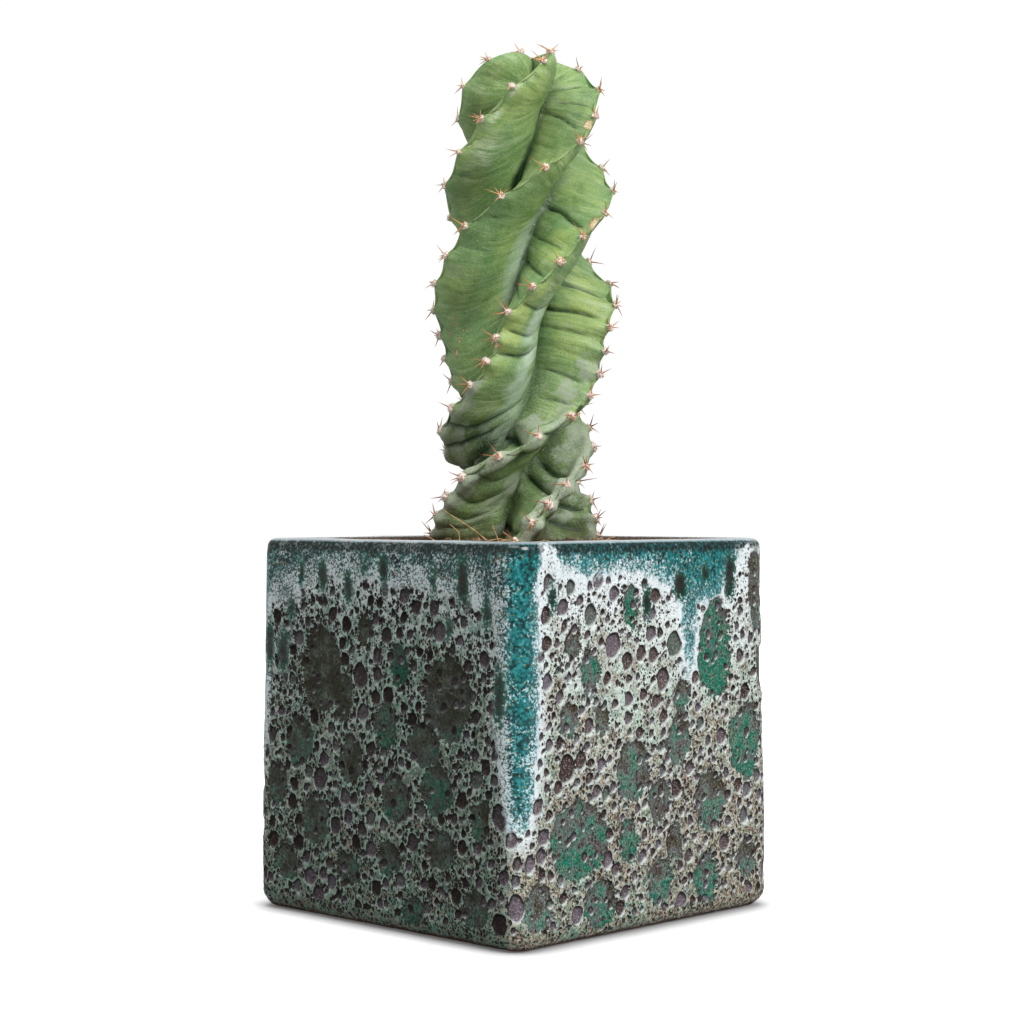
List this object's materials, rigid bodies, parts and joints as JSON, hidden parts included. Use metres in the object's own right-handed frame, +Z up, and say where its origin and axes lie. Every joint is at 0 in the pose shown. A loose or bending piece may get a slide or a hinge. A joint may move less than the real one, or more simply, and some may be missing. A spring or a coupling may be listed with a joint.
{
  "type": "potted spiral cereus",
  "caption": "Columnar cactus with spirally twisted, scalloped, spiny ribs, growing from soil in a cube planter with a cratered glaze.",
  "frame": {"origin": "centre of the pot's flat base, on the surface that it stands on", "axes": "+Z up along the stem, +X and +Y square to two sides of the pot; the picture looks at the corner between the +X and -Y sides"},
  "size_m": [0.1412, 0.1412, 0.3301],
  "materials": {
    "pot_glaze": "satin",
    "potting_soil": "matte",
    "cactus_skin": "matte"
  },
  "bodies": {
    "root": {"pot": "pot_glaze", "soil": "potting_soil", "stem": "cactus_skin"}
  },
  "joints": []
}
